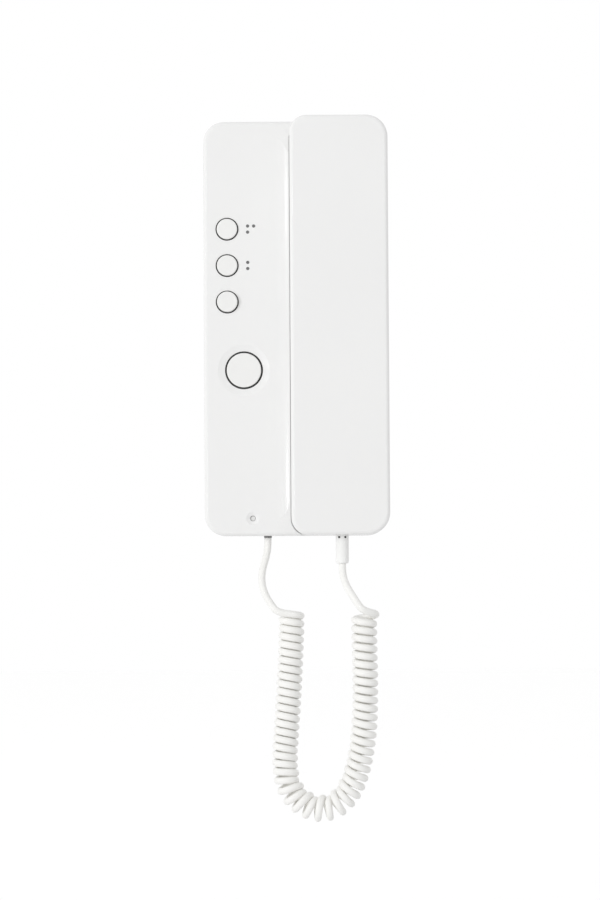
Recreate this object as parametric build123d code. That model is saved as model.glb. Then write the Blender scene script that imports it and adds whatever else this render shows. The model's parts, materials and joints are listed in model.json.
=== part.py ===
from build123d import *
import math
import os

# Wall door phone with a handset on a curly cord. Lengths are in millimetres.
# Rigid pieces are drawn lying on their backs: X across, Y up the wall, Z out of the wall.
# save() stands them up, so that +Z is up, the front faces -Y and the wall is the plane Y = 0.
# The origin is the centre of the wall screws, on the back of the wall plate.

# Front cover of the base
base_width = 90.0
base_height = 203.5
base_corner = 10.5
key_face = 24.0
cradle_face = 17.0
cover_wall = 2.2
cover_round = 2.0
cradle_round = 1.5
cover_off_wall = 0.5
ridge_width = 7.0
ridge_rise = 1.2
ridge_end_gap = 8.0
ridge_taper = 16.0

# Handset shells
handset_width = 47.6
handset_end_gap = 0.25
handset_front = 45.0
handset_split = 31.0
handset_left_corner = 8.3
handset_right_corner = 10.7
handset_wall = 2.0
handset_round = 2.0
handset_back_round = 1.5
handset_seat_gap = 0.6
handset_side_gap = 0.3
corner_fill = 4.5
arch_half = 38.0
arch_rise = 3.0
lip_thick = 1.0
lip_rise = 2.0
lip_fit = 0.1
shell_gap = 0.15

# Ear cup and mouth cup of the handset, and the pockets that they sit in
ear_drop = 23.0
mouth_rise = 21.5
ear_cup_radius = 18.0
mouth_cup_radius = 15.5
cup_drop = 8.1
cup_round = 2.5
pocket_clearance = 0.8
pocket_seat_gap = 0.3
ear_hole_radius = 1.1
ear_hole_ring = 6.5
ear_hole_count = 6
mouth_slot_length = 7.0
mouth_slot_width = 1.4
mouth_slot_pitch = 3.2

# Keys
key_inset = 11.6
key_drop = 53.15
key_pitch = 17.9
key_radius = 5.0
key_gap = 0.65
key_rises = {"upper": 1.3, "middle": 1.3, "lower": 2.2}
key_travel = 0.8
key_chamfer_radius = 6.9
key_chamfer_depth = 0.3
key_edge = 0.5
door_key_inset = 19.6
door_key_drop = 33.5
door_key_radius = 8.4
door_key_gap = 0.9
door_key_rise = 2.0
door_key_travel = 1.0
dish_radius = 12.7
dish_depth = 1.6
flange_over = 0.7
flange_thick = 1.2
flange_gap = 0.4
collar_clearance = 0.3
collar_thick = 1.0
collar_depth = 5.0
stem_radius = 2.0
door_stem_radius = 3.6

# Printed dots
dot_radius = 0.8
dot_thick = 0.05
dot_pitch = 3.0
dot_offset = 10.1

# Status light
led_inset = 23.6
led_rise = 8.55
led_dimple_radius = 3.2
led_dimple_depth = 0.9
pipe_radius = 1.25
pipe_clearance = 0.1
pipe_short = 0.5
led_size = 2.0
led_height = 0.9
led_gap = 0.3

# Wall plate
plate_thick = 2.5
plate_clearance = 0.3
rim_thick = 1.6
rim_height = 7.0
screw_spacing = 83.5
screw_slot_length = 8.0
screw_slot_radius = 2.25
box_spacing = 60.0
box_hole_radius = 2.1
entry_x0 = -5.0
entry_x1 = 18.0
entry_y0 = -20.0
entry_y1 = 13.0
lining_width = 4.0
lining_flange = 1.5
lining_flange_thick = 1.0
lining_clearance = 0.1
snap_length = 8.0
snap_out = 0.8
snap_height = 1.5
snap_z = 4.0
snap_clearance = 0.2
snap_spacing = 40.0

# Main board and what stands on it
board_z = 5.0
board_thick = 1.6
board_clearance = 0.5
board_right = -8.0
board_top_drop = 35.0
board_screw_inset = 4.0
board_screw_radius = 1.1
board_screw_head = 2.1
board_screw_head_height = 1.3
board_screw_length = 4.2
board_boss_radius = 3.0
thread_gap = 0.05
switch_size = 6.2
switch_height = 3.6
plunger_radius = 1.7
plunger_height = 6.0
door_switch_size = 12.0
door_switch_height = 4.0
door_plunger_radius = 3.2
door_plunger_height = 5.6
plunger_clearance = 0.1
plunger_floor_gap = 0.4
pole_count = 6
pole_pitch = 5.0
terminal_depth = 9.6
terminal_height = 8.4
terminal_drop = 5.6
wire_hole_radius = 1.3
wire_hole_depth = 6.0
wire_hole_height = 3.0
terminal_screw_radius = 1.7
terminal_screw_length = 3.0
terminal_screw_sink = 0.4
terminal_screw_clearance = 0.1
chip_width = 6.0
chip_length = 9.0
chip_height = 1.7
capacitor_radius = 3.15
capacitor_height = 8.0
capacitor_pitch = 8.0
capacitor_count = 3
transformer_width = 14.0
transformer_length = 12.0
transformer_height = 9.0

# Call speaker under the cradle
speaker_inset = 24.0
speaker_y = -42.5
speaker_radius = 15.5
speaker_depth = 6.0
speaker_wall = 1.0
speaker_gap = 0.3
speaker_magnet_radius = 8.0
speaker_magnet_depth = 3.0
speaker_ring_thick = 1.2
cone_thick = 0.4
sound_slot_width = 1.6
sound_slot_pitch = 4.0
sound_slot_count = 5
sound_slot_length = 18.0

# Hook lever, its pin, spring and switch
hook_inset = 14.0
hook_pivot_y = 16.0
hook_arm = 30.0
hook_tail = 9.0
hook_width = 6.0
hook_thick = 2.4
hook_axis_z = 9.0
hook_nose_length = 4.0
hook_nose_gap = 0.3
hook_angle = 7.6
hook_slot_margin = 1.6
hook_hub_radius = 2.2
pin_radius = 1.0
pin_clearance = 0.05
ear_thick = 2.0
ear_length = 6.0
ear_gap = 0.3
ear_over = 2.2
spring_radius = 2.2
spring_wire = 0.5
spring_turns = 4
spring_at = 20.0
spring_seat_gap = 0.05
spring_peg_radius = 1.6
spring_peg_height = 2.0
hook_switch_length = 9.0
hook_switch_width = 5.8
hook_switch_gap = 0.15
hook_button_length = 2.0
hook_button_height = 0.6

# Cord jack, plug and bushing of the base
exit_inset = 30.75
exit_depth = 12.0
jack_width = 9.4
jack_length = 13.0
jack_height = 11.0
jack_wall = 0.9
plug_length = 11.0
plug_clearance = 0.1
bushing_radius = 1.95
bushing_clearance = 0.1
bushing_out = 0.8
bushing_flange = 3.0
bushing_flange_thick = 1.0

# Receiver, microphone and ballast of the handset
receiver_radius = 14.5
receiver_height = 8.0
receiver_wall = 1.0
gasket_thick = 1.0
gasket_width = 2.5
gasket_gap = 0.1
hold_down_radius = 10.0
hold_down_wall = 1.5
hold_down_gap = 0.3
capsule_radius = 4.85
capsule_height = 4.5
capsule_clearance = 0.05
mic_boot_wall = 1.4
mic_boot_height = 7.0
mic_socket_wall = 1.4
mic_socket_height = 4.5
mic_socket_clearance = 0.1
mic_mouth_radius = 3.0
ballast_width = 18.0
ballast_length = 56.0
ballast_thick = 5.0
ballast_gap = 0.3
ballast_rib = 1.2
ballast_rib_height = 4.0

# Screws that join the two shells
shell_screw_y = 47.0
shell_screw_radius = 1.4
shell_screw_head = 2.8
shell_screw_head_height = 2.0
shell_screw_length = 12.0
shell_screw_hole = 1.6
shell_screw_recess = 3.1
shell_screw_floor = 4.4
shell_screw_seat = 2.0
shell_post_wall = 1.3
shell_boss_radius = 3.2
shell_boss_gap = 0.3

# Cord boot and plug of the handset
boot_offset = 0.8
boot_radius = 3.15
boot_out = 13.9
boot_clearance = 0.15
boot_flange_radius = 4.6
boot_flange_thick = 1.8
boot_flange_gap = 0.1
boot_hole_radius = 0.55
boot_hole_depth = 1.2
boot_hole_half = 1.48
boot_hole_drop = 1.1
boot_edge = 0.8
inner_plug_width = 8.0
inner_plug_length = 10.0
inner_plug_height = 6.6
saddle_width = 6.0
saddle_gap = 0.2

# Cord
cord_diameter = 3.5
coil_diameter = 12.7
coil_pitch = 3.95
self_gap = 0.44
coil_last_share = 0.167
corner_share = 0.45
base_first_run = 5.0
base_last_run = 3.8
handset_first_run = 4.0
handset_last_run = 3.3

# Points of the base's lead from its bushing down to the coil, in the standing frame
base_lead_points = [
    (-15.3, -12.4, -112.4),
    (-17.1, -13.4, -118.4),
    (-17.5, -15.0, -124.4),
    (-16.0, -17.2, -130.0),
    (-13.0, -19.6, -135.0),
]

# Points of the handset's lead from its boot down to the coil, in the standing frame
handset_lead_points = [
    (22.8, -32.4, -123.4),
    (24.6, -34.8, -127.6),
    (26.9, -37.4, -131.2),
    (29.2, -39.2, -134.9),
    (31.6, -39.8, -138.0),
]

# Points of the coil's centre line, from the base's side to the handset's side
coil_points = [
    (-2.8, -16.0, -140.0),
    (-2.9, -16.0, -149.0),
    (-3.6, -16.4, -164.0),
    (-4.5, -17.0, -180.0),
    (-5.6, -17.8, -196.0),
    (-6.8, -18.7, -211.0),
    (-5.4, -19.9, -224.4),
    (2.2, -21.4, -232.8),
    (11.0, -23.0, -235.2),
    (19.6, -24.6, -232.6),
    (26.2, -26.2, -224.0),
    (30.2, -27.6, -210.5),
    (32.3, -28.8, -195.0),
    (32.8, -29.6, -178.0),
    (32.6, -30.0, -162.0),
    (32.4, -30.0, -149.5),
    (32.4, -30.0, -140.8),
]

# Steps that only decide how finely curves are measured
steps_per_span = 40
checks_per_half_turn = 12
checked_half_turns = 6
heading_step = 0.01
over = 1.0

# Places that several pieces share
base_left = -base_width / 2
base_right = base_width / 2
base_top = base_height / 2
base_bottom = -base_height / 2
handset_height = base_height - 2 * handset_end_gap
handset_left = base_right - handset_width
handset_x = (handset_left + base_right) / 2
handset_back = cradle_face + handset_seat_gap
step_x = handset_left - handset_side_gap
ear_y = handset_height / 2 - ear_drop
mouth_y = -handset_height / 2 + mouth_rise
cup_floor = handset_back - cup_drop
pocket_floor = cup_floor - pocket_seat_gap
cover_inside = key_face - cover_wall
cradle_inside = cradle_face - cover_wall
key_x = base_left + key_inset
key_ys = {name: base_top - key_drop - i * key_pitch for i, name in enumerate(key_rises)}
door_x = base_left + door_key_inset
door_y = key_ys["lower"] - door_key_drop
led_x = base_left + led_inset
led_y = base_bottom + led_rise
exit_x = base_left + exit_inset
board_top_face = board_z + board_thick
rim_outside = cover_wall + plate_clearance
board_inset = rim_outside + rim_thick + board_clearance
board_left = base_left + board_inset
board_bottom = base_bottom + board_inset
board_top = base_top - board_top_drop
hook_x = base_right - hook_inset
speaker_x = step_x + speaker_inset + cover_wall
boot_x = handset_x + boot_offset
dish_face = key_face - dish_depth
flange_top = cover_inside - flange_gap


def slab(x0, x1, y0, y1, z0, z1, left_corner=0, right_corner=0):
    """A flat block whose upright edges are rounded by one radius on the left and one on the right."""
    outline = Rectangle(x1 - x0, y1 - y0)
    if left_corner:
        outline = fillet(outline.vertices().group_by(Axis.X)[0], left_corner)
    if right_corner:
        outline = fillet(outline.vertices().group_by(Axis.X)[-1], right_corner)
    return extrude(Pos((x0 + x1) / 2, (y0 + y1) / 2, z0) * outline, z1 - z0)


def rod(x, y, z0, z1, radius):
    """A round bar that stands out of the wall."""
    return extrude(Pos(x, y, z0) * Circle(radius), z1 - z0)


def tube(x, y, z0, z1, outside, inside):
    """A round sleeve that stands out of the wall."""
    return rod(x, y, z0, z1, outside) - rod(x, y, z0 - over, z1 + over, inside)


def bar_across(x0, x1, y, z, radius):
    """A round bar along X."""
    return extrude(Plane.YZ.offset(x0) * Pos(y, z) * Circle(radius), x1 - x0)


def bar_up(x, y0, y1, z, radius):
    """A round bar along Y."""
    return extrude(Plane.XZ.offset(-y1) * Pos(x, z) * Circle(radius), y1 - y0)


def bowl(x, y, face, radius, depth):
    """The ball that cuts a shallow dish of this rim radius and depth into a face."""
    ball = (radius ** 2 + depth ** 2) / (2 * depth)
    return Pos(x, y, face + ball - depth) * Sphere(ball)


def save(name, shape, standing=False):
    """Stands a piece up against the wall and writes it."""
    solid = shape if standing else Rot(90, 0, 0) * shape
    export_step(solid, f"parts/{name}.step")
    return solid


# Base

def cover_form(inset):
    """The cover's outer form, moved inwards by an inset."""
    corner = base_corner - inset
    left, right = base_left + inset, base_right - inset
    low, high = base_bottom + inset, base_top - inset
    foot = cover_off_wall if inset == 0 else -over
    cradle = slab(left, right, low, high, foot, cradle_face - inset, corner, corner)
    keys = slab(left, step_x - inset, low, high, foot, key_face - inset, corner)
    if inset == 0:
        cradle = fillet(cradle.edges().group_by(Axis.Z)[-1], cradle_round)
        keys = slab(left, handset_left + corner_fill, low, high, foot, key_face, corner)
        rim = keys.edges().group_by(Axis.Z)[-1].sort_by(Axis.X)[:-1]
        keys = fillet(rim, cover_round) - handset_room()
    return cradle + keys


def handset_room():
    """The room for the handset's left side, so that the raised half of the cover follows its corners."""
    half = handset_height / 2 + handset_side_gap
    return slab(step_x, base_right + over, -half, half, cradle_face, key_face + over,
                handset_left_corner + handset_side_gap)


def cover_ridge():
    """The cover's face curls up to the handset's side, and runs out before both ends."""
    x0, x1 = step_x - ridge_width, step_x
    low, top = key_face - cover_wall / 2, key_face + ridge_rise
    sag = ridge_rise / 4
    curl = Line((x0, key_face), (x0, low)) + Line((x0, low), (x1, low)) + Line((x1, low), (x1, top))
    curl += ThreePointArc((x1, top), ((x0 + x1) / 2, key_face + sag), (x0, key_face))
    band = extrude(Plane.XZ.offset(-base_top) * make_face(curl), base_height)
    y1 = base_top - ridge_end_gap
    y2 = y1 - ridge_taper
    side = Polyline((-y1, key_face), (-y2, top + over), (y2, top + over), (y1, key_face),
                    (y1, low), (-y1, low), close=True)
    return band & extrude(Plane.YZ.offset(x0 - over) * make_face(side), ridge_width + 2 * over)


def key_collar(x, y, hole):
    """The sleeve behind the cover that guides a key's flange."""
    inside = hole + flange_over + collar_clearance
    low, high = cover_inside - collar_depth, cover_inside + cover_wall / 2
    return tube(x, y, low, high, inside + collar_thick, inside)


def front_cover():
    cover = cover_form(0) + cover_ridge() - cover_form(cover_wall)
    pockets = [(ear_y, ear_cup_radius + pocket_clearance), (mouth_y, mouth_cup_radius + pocket_clearance)]
    hollow = cover_form(cover_wall / 2)
    for y, radius in pockets:
        cup = rod(handset_x, y, pocket_floor - cover_wall, cradle_inside + over, radius + cover_wall)
        cover += cup & hollow
    for y, radius in pockets:
        cover -= rod(handset_x, y, pocket_floor, cradle_face + over, radius)
    ring = speaker_radius + speaker_gap
    cover += tube(speaker_x, speaker_y, cradle_inside - speaker_depth, cradle_face - cover_wall / 2,
                  ring + speaker_ring_thick, ring)
    for i in range(sound_slot_count):
        x = speaker_x + (i - (sound_slot_count - 1) / 2) * sound_slot_pitch
        cover -= Pos(x, speaker_y, cradle_face) * Box(sound_slot_width, sound_slot_length, 3 * cover_wall)
    keys = [(key_x, y, key_radius + key_gap) for y in key_ys.values()]
    keys.append((door_x, door_y, door_key_radius + door_key_gap))
    for x, y, hole in keys:
        cover += key_collar(x, y, hole)
    cover -= bowl(door_x, door_y, key_face, dish_radius, dish_depth)
    cover -= bowl(led_x, led_y, key_face, led_dimple_radius, led_dimple_depth)
    for y in key_ys.values():
        cover -= bowl(key_x, y, key_face, key_chamfer_radius, key_chamfer_depth)
    for x, y, hole in keys:
        cover -= rod(x, y, cover_inside - over, key_face + over, hole)
    cover -= rod(led_x, led_y, cover_inside - over, key_face + over, pipe_radius + pipe_clearance)
    nose_y = hook_pivot_y + hook_arm - hook_nose_length / 2
    cover -= Pos(hook_x, nose_y, cradle_face) * Box(
        hook_width + hook_slot_margin, hook_nose_length + 2 * hook_slot_margin, 3 * cover_wall)
    cover -= bar_up(exit_x, base_bottom - over, base_bottom + cover_wall + over, exit_depth,
                    bushing_radius + bushing_clearance)
    for x in (-snap_spacing / 2, snap_spacing / 2):
        for end in (-1, 1):
            y = end * (base_top - cover_wall)
            reach = 2 * (snap_out - plate_clearance + snap_clearance)
            cover -= Pos(x, y, snap_z) * Box(
                snap_length + 2 * snap_clearance, reach, snap_height + 2 * snap_clearance)
    return cover


def wall_plate():
    corner = base_corner - rim_outside
    left, right = base_left + rim_outside, base_right - rim_outside
    low, high = base_bottom + rim_outside, base_top - rim_outside
    plate = slab(left, right, low, high, 0, rim_height, corner, corner)
    plate -= slab(left + rim_thick, right - rim_thick, low + rim_thick, high - rim_thick,
                  plate_thick, rim_height + over, corner - rim_thick, corner - rim_thick)
    for x, y in board_screw_places():
        plate += rod(x, y, plate_thick / 2, board_z, board_boss_radius)
        plate -= rod(x, y, plate_thick / 2, board_z + over, board_screw_radius + thread_gap)
    half = (hook_width / 2) + ear_gap
    for x in (hook_x - half - ear_thick, hook_x + half):
        ear = Pos(x + ear_thick / 2, hook_pivot_y, (plate_thick + hook_axis_z + ear_over) / 2) * Box(
            ear_thick, ear_length, hook_axis_z + ear_over)
        plate += ear
    reach = half + ear_thick + over
    plate -= bar_across(hook_x - reach, hook_x + reach, hook_pivot_y, hook_axis_z, pin_radius)
    peg_y = hook_pivot_y + spring_at
    plate += rod(hook_x, peg_y, plate_thick / 2, plate_thick + spring_peg_height, spring_peg_radius)
    for end in (-1, 1):
        slot = SlotOverall(screw_slot_length, 2 * screw_slot_radius, rotation=90)
        plate -= extrude(Pos(0, end * screw_spacing / 2, -over) * slot, plate_thick + 2 * over)
        plate -= rod(0, end * box_spacing / 2, -over, plate_thick + over, box_hole_radius)
    plate -= entry_block(lining_width, -over, plate_thick + over)
    for x in (-snap_spacing / 2, snap_spacing / 2):
        for y, out in ((low, -1), (high, 1)):
            plate += Pos(x, y, snap_z) * Box(snap_length, 2 * snap_out, snap_height)
    return plate


def entry_block(margin, z0, z1):
    """A block as wide as the cable entry and a margin round it."""
    return slab(entry_x0 - margin, entry_x1 + margin, entry_y0 - margin, entry_y1 + margin, z0, z1)


def cable_entry_lining():
    """The collar that lines the cable entry, with a flange that rests on the plate."""
    top = plate_thick + lining_flange_thick
    lining = entry_block(lining_width - lining_clearance, 0, top)
    lining += entry_block(lining_width + lining_flange, plate_thick, top)
    return lining - entry_block(0, -over, top + over)


def board_screw_places():
    left, right = board_left + board_screw_inset, board_right - board_screw_inset
    low, high = key_ys["lower"] + key_pitch / 2, board_top - board_screw_inset
    return [(right, high), (left, high), (right, low), (right, terminal_low() - 2 * board_screw_inset)]


def terminal_low():
    """The lower end of the terminal block."""
    return -terminal_drop - pole_count * pole_pitch


def main_board():
    board = slab(board_left, board_right, board_bottom, board_top, board_z, board_top_face,
                 base_corner - board_inset, board_clearance)
    for x, y in board_screw_places():
        board -= rod(x, y, board_z - over, board_top_face + over, board_screw_radius + thread_gap)
    return board


def board_screws():
    """Four screws in one node."""
    screws = []
    for x, y in board_screw_places():
        top = board_top_face + board_screw_head_height
        head = rod(x, y, board_top_face, top, board_screw_head)
        head = fillet(head.edges().group_by(Axis.Z)[-1], board_screw_head_height / 3)
        head += rod(x, y, top - board_screw_length, board_top_face, board_screw_radius)
        slot = board_screw_head / 3
        head -= Pos(x, y, top) * Box(2 * board_screw_head, slot, slot)
        screws.append(head)
    return Compound(screws)


def switch_body(x, y, size, height, radius):
    """A push switch whose well lets its plunger travel."""
    corner = size / 10
    body = slab(x - size / 2, x + size / 2, y - size / 2, y + size / 2,
                board_top_face, board_top_face + height, corner, corner)
    floor = board_top_face + plunger_floor_gap
    well = rod(x, y, floor, board_top_face + height + over, radius + plunger_clearance)
    return body - well


def key_switches():
    return Compound([
        switch_body(key_x, y, switch_size, switch_height, plunger_radius) for y in key_ys.values()])


def door_switch():
    return switch_body(door_x, door_y, door_switch_size, door_switch_height, door_plunger_radius)


def plunger(x, y, height, radius, travel):
    low = board_top_face + plunger_floor_gap + travel + plunger_floor_gap
    body = rod(x, y, low, board_top_face + height, radius)
    return chamfer(body.edges().group_by(Axis.Z)[-1], radius / 6)


def key(x, y, radius, gap, rise, stem, stem_foot, face):
    """A key: its cap, the flange that keeps it in the cover, and the stem that reaches its switch."""
    cap = rod(x, y, flange_top - flange_thick, face + rise, radius)
    cap = fillet(cap.edges().group_by(Axis.Z)[-1], key_edge)
    cap += rod(x, y, flange_top - flange_thick, flange_top, radius + gap + flange_over)
    return cap + rod(x, y, stem_foot, flange_top, stem)


def terminal_block():
    low, high = terminal_low(), -terminal_drop
    left = board_right - terminal_depth
    top = board_top_face + terminal_height
    block = slab(left, board_right, low, high, board_top_face, top)
    block = chamfer(block.edges().filter_by(Axis.Y).group_by(Axis.Z)[-1], terminal_screw_sink)
    for y in pole_places():
        block -= bar_across(board_right - wire_hole_depth, board_right + over, y,
                            board_top_face + wire_hole_height, wire_hole_radius)
        block -= rod(left + terminal_depth / 2, y, top - terminal_screw_length - terminal_screw_sink,
                     top + over, terminal_screw_radius + terminal_screw_clearance)
    return block


def pole_places():
    return [terminal_low() + (i + 1 / 2) * pole_pitch for i in range(pole_count)]


def terminal_screws():
    top = board_top_face + terminal_height - terminal_screw_sink
    screws = []
    for y in pole_places():
        x = board_right - terminal_depth / 2
        screw = rod(x, y, top - terminal_screw_length, top, terminal_screw_radius)
        slot = terminal_screw_radius / 3
        screws.append(screw - Pos(x, y, top) * Box(2 * terminal_screw_radius, slot, 2 * slot))
    return Compound(screws)


def board_chips():
    """Two small chips between the keys and the board's right edge."""
    x = board_right - chip_width
    chips = []
    for y in (key_ys["upper"], key_ys["lower"] - key_pitch / 3):
        chips.append(slab(x - chip_width / 2, x + chip_width / 2, y - chip_length / 2, y + chip_length / 2,
                          board_top_face, board_top_face + chip_height))
    return Compound(chips)


def capacitors():
    """Three upright capacitors below the door key."""
    cans = []
    y = terminal_low() - board_screw_inset - capacitor_radius
    for i in range(capacitor_count):
        x = board_left + capacitor_pitch * (i + 1 / 2)
        can = rod(x, y, board_top_face, board_top_face + capacitor_height, capacitor_radius)
        cans.append(fillet(can.edges().group_by(Axis.Z)[-1], capacitor_radius / 6))
    return Compound(cans)


def line_transformer():
    """A wound transformer: a core frame round a bobbin."""
    x, y = door_x, terminal_low() - 2 * capacitor_pitch - transformer_length
    low, high = board_top_face, board_top_face + transformer_height
    core = slab(x - transformer_width / 2, x + transformer_width / 2, y - transformer_length / 4,
                y + transformer_length / 4, low, high)
    bobbin = slab(x - transformer_width / 3, x + transformer_width / 3, y - transformer_length / 2,
                  y + transformer_length / 2, low, high - transformer_height / 4, transformer_width / 12,
                  transformer_width / 12)
    return core + bobbin


def status_led():
    return slab(led_x - led_size / 2, led_x + led_size / 2, led_y - led_size / 2, led_y + led_size / 2,
                board_top_face, board_top_face + led_height)


def light_pipe():
    """A clear rod from just above the status light to the bottom of the dimple."""
    low = board_top_face + led_height + led_gap
    pipe = rod(led_x, led_y, low, key_face - led_dimple_depth - pipe_short, pipe_radius)
    return fillet(pipe.edges().group_by(Axis.Z)[-1], pipe_radius / 3)


def printed_dots():
    """Three dots beside the upper key and two beside the middle one, as thin ink."""
    x = key_x + dot_offset
    upper, middle = key_ys["upper"], key_ys["middle"]
    places = [(x, upper + dot_pitch / 2), (x + dot_pitch, upper + dot_pitch / 2), (x, upper - dot_pitch / 2)]
    places += [(x, middle + dot_pitch / 2), (x, middle - dot_pitch / 2)]
    return Compound([rod(px, py, key_face, key_face + dot_thick, dot_radius) for px, py in places])


def call_speaker_frame():
    top = cradle_inside - speaker_gap
    low = top - speaker_depth
    basket = rod(speaker_x, speaker_y, low, top, speaker_radius)
    basket -= rod(speaker_x, speaker_y, low + speaker_wall, top + over, speaker_radius - speaker_wall)
    return basket + rod(speaker_x, speaker_y, low - speaker_magnet_depth + speaker_gap, low + speaker_wall,
                        speaker_magnet_radius)


def cone(height, radius):
    """A thin paper cone that opens upwards from its flat middle."""
    inner = radius / 3
    side = Polyline((radius, height), (inner, 0), (0, 0), (0, cone_thick), (inner, cone_thick),
                    (radius - cone_thick, height), close=True)
    return revolve(Plane.XZ * make_face(side), Axis.Z)


def call_speaker_cone():
    low = cradle_inside - speaker_gap - speaker_depth + speaker_wall
    paper = cone(speaker_depth / 2, speaker_radius - speaker_wall - pin_clearance)
    return Pos(speaker_x, speaker_y, low) * paper


def hook_lever():
    """A rocker: its nose stands under the handset, its tail works the hook switch."""
    low = hook_axis_z - hook_thick / 2
    top = hook_axis_z + hook_thick / 2
    left, right = hook_x - hook_width / 2, hook_x + hook_width / 2
    end = hook_pivot_y + hook_arm
    lever = slab(left, right, hook_pivot_y - hook_tail, end, low, top)
    nose = slab(left, right, end - hook_nose_length, end, low, handset_back - hook_nose_gap)
    nose = fillet(nose.edges().filter_by(Axis.X).group_by(Axis.Z)[-1], hook_nose_length / 3)
    hub = bar_across(left, right, hook_pivot_y, hook_axis_z, hook_hub_radius)
    bore = bar_across(left - over, right + over, hook_pivot_y, hook_axis_z, pin_radius + pin_clearance)
    return lever + nose + hub - bore


def hook_pivot_pin():
    half = hook_width / 2 + ear_gap + ear_thick
    return bar_across(hook_x - half, hook_x + half, hook_pivot_y, hook_axis_z, pin_radius)


def hook_switch():
    """A flat switch that the lever's tail closes when the handset is off."""
    fall = hook_tail * math.sin(math.radians(hook_angle))
    top = hook_axis_z - hook_thick / 2 - fall - hook_switch_gap
    y1 = hook_pivot_y - hook_tail / 2
    body = slab(hook_x - hook_switch_width / 2, hook_x + hook_switch_width / 2,
                y1 - hook_switch_length, y1 - hook_button_length, plate_thick, top - hook_button_height)
    y = hook_pivot_y - hook_tail + hook_button_length / 2
    half = hook_button_length / 2
    button = slab(hook_x - half, hook_x + half, y - half, y + half, top - 2 * hook_button_height, top)
    return body + button


# Handset

def handset_form(inset, rounded=False):
    """The handset's form with its cups, moved inwards by an inset."""
    low, high = -handset_height / 2 + inset, handset_height / 2 - inset
    form = slab(handset_left + inset, base_right - inset, low, high,
                handset_back + inset, handset_front - inset,
                handset_left_corner - inset, handset_right_corner - inset)
    if rounded:
        form = fillet(form.edges().group_by(Axis.Z)[-1], handset_round)
        form = fillet(form.edges().group_by(Axis.Z)[0], handset_back_round)
    radius = (arch_half ** 2 + arch_rise ** 2) / (2 * arch_rise)
    arch_z = handset_back + arch_rise - radius
    form -= bar_across(handset_left - over, base_right + over, 0, arch_z, radius + inset)
    for y, cup_radius in ((ear_y, ear_cup_radius), (mouth_y, mouth_cup_radius)):
        cup = rod(handset_x, y, cup_floor + inset, handset_back + 2 * handset_wall, cup_radius - inset)
        if rounded:
            cup = fillet(cup.edges().group_by(Axis.Z)[0], cup_round)
        form += cup
    return form


def layer(z0, z1):
    """A wide block used to keep one layer of a form."""
    return slab(handset_left - over, base_right + over, -handset_height, handset_height, z0, z1)


def boot_cut(radius):
    """The round hole in the handset's lower wall that the cord boot passes through."""
    low = -handset_height / 2
    return bar_up(boot_x, low - over, low + handset_wall + lip_thick + over, handset_split, radius)


def handset_front_shell():
    front = layer(handset_split + shell_gap, handset_front + over)
    shell = (handset_form(0, True) - handset_form(handset_wall)) & front
    roof = handset_front - handset_wall / 2
    for y in (-shell_screw_y, shell_screw_y):
        boss = rod(handset_x, y, screw_seat() + shell_boss_gap, roof, shell_boss_radius)
        hole_top = screw_seat() + shell_screw_length
        hole = rod(handset_x, y, screw_seat(), hole_top, shell_screw_radius + thread_gap)
        shell += boss - hole
    top = cup_floor + handset_wall + gasket_gap + gasket_thick + receiver_height
    shell += tube(handset_x, ear_y, top + hold_down_gap, roof, hold_down_radius,
                  hold_down_radius - hold_down_wall)
    return shell - boot_cut(boot_radius + boot_clearance)


def screw_seat():
    """How far out of the wall the rear shell's screw posts end."""
    return handset_back + shell_screw_floor + shell_screw_seat


def handset_rear_shell():
    inside, lip_inside = handset_form(handset_wall), handset_form(handset_wall + lip_thick)
    shell = (handset_form(0, True) - inside) & layer(cup_floor - over, handset_split)
    shell += (inside - lip_inside) & layer(handset_split - 2 * lip_rise, handset_split)
    lip = handset_form(handset_wall + lip_fit) - lip_inside
    shell += lip & layer(handset_split - over, handset_split + lip_rise)
    post_radius = shell_screw_recess + shell_post_wall
    for y in (-shell_screw_y, shell_screw_y):
        shell += rod(handset_x, y, handset_back + handset_wall / 2, screw_seat(), post_radius)
        shell -= rod(handset_x, y, handset_back - over, handset_back + shell_screw_floor, shell_screw_recess)
        shell -= rod(handset_x, y, handset_back, screw_seat() + over, shell_screw_hole)
    half_x = ballast_width / 2 + ballast_gap
    half_y = ballast_length / 2 + ballast_gap
    floor = handset_back + arch_rise + handset_wall / 2
    out_x, out_y = half_x + ballast_rib, half_y + ballast_rib
    ribs = slab(handset_x - out_x, handset_x + out_x, -out_y, out_y, floor, ballast_low() + ballast_rib_height)
    ribs -= slab(handset_x - half_x, handset_x + half_x, -half_y, half_y,
                 floor - over, ballast_low() + ballast_thick + over)
    shell += ribs & handset_form(handset_wall / 2)
    shell += mic_socket()
    shell += cord_saddle()
    low, high = cup_floor - over, cup_floor + 2 * handset_wall
    shell -= rod(handset_x, ear_y, low, high, ear_hole_radius)
    for i in range(ear_hole_count):
        turn = math.radians(360 * i / ear_hole_count)
        x, y = handset_x + ear_hole_ring * math.cos(turn), ear_y + ear_hole_ring * math.sin(turn)
        shell -= rod(x, y, low, high, ear_hole_radius)
    for side in (-1, 0, 1):
        shell -= Pos(handset_x + side * mouth_slot_pitch, mouth_y, cup_floor + handset_wall / 2) * Box(
            mouth_slot_width, mouth_slot_length, 2 * handset_wall)
    return shell - boot_cut(boot_radius + boot_clearance)


def mic_socket():
    inside = capsule_radius + capsule_clearance + mic_boot_wall + mic_socket_clearance
    floor = cup_floor + handset_wall / 2
    top = cup_floor + handset_wall + mic_socket_height
    return tube(handset_x, mouth_y, floor, top, inside + mic_socket_wall, inside)


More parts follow.
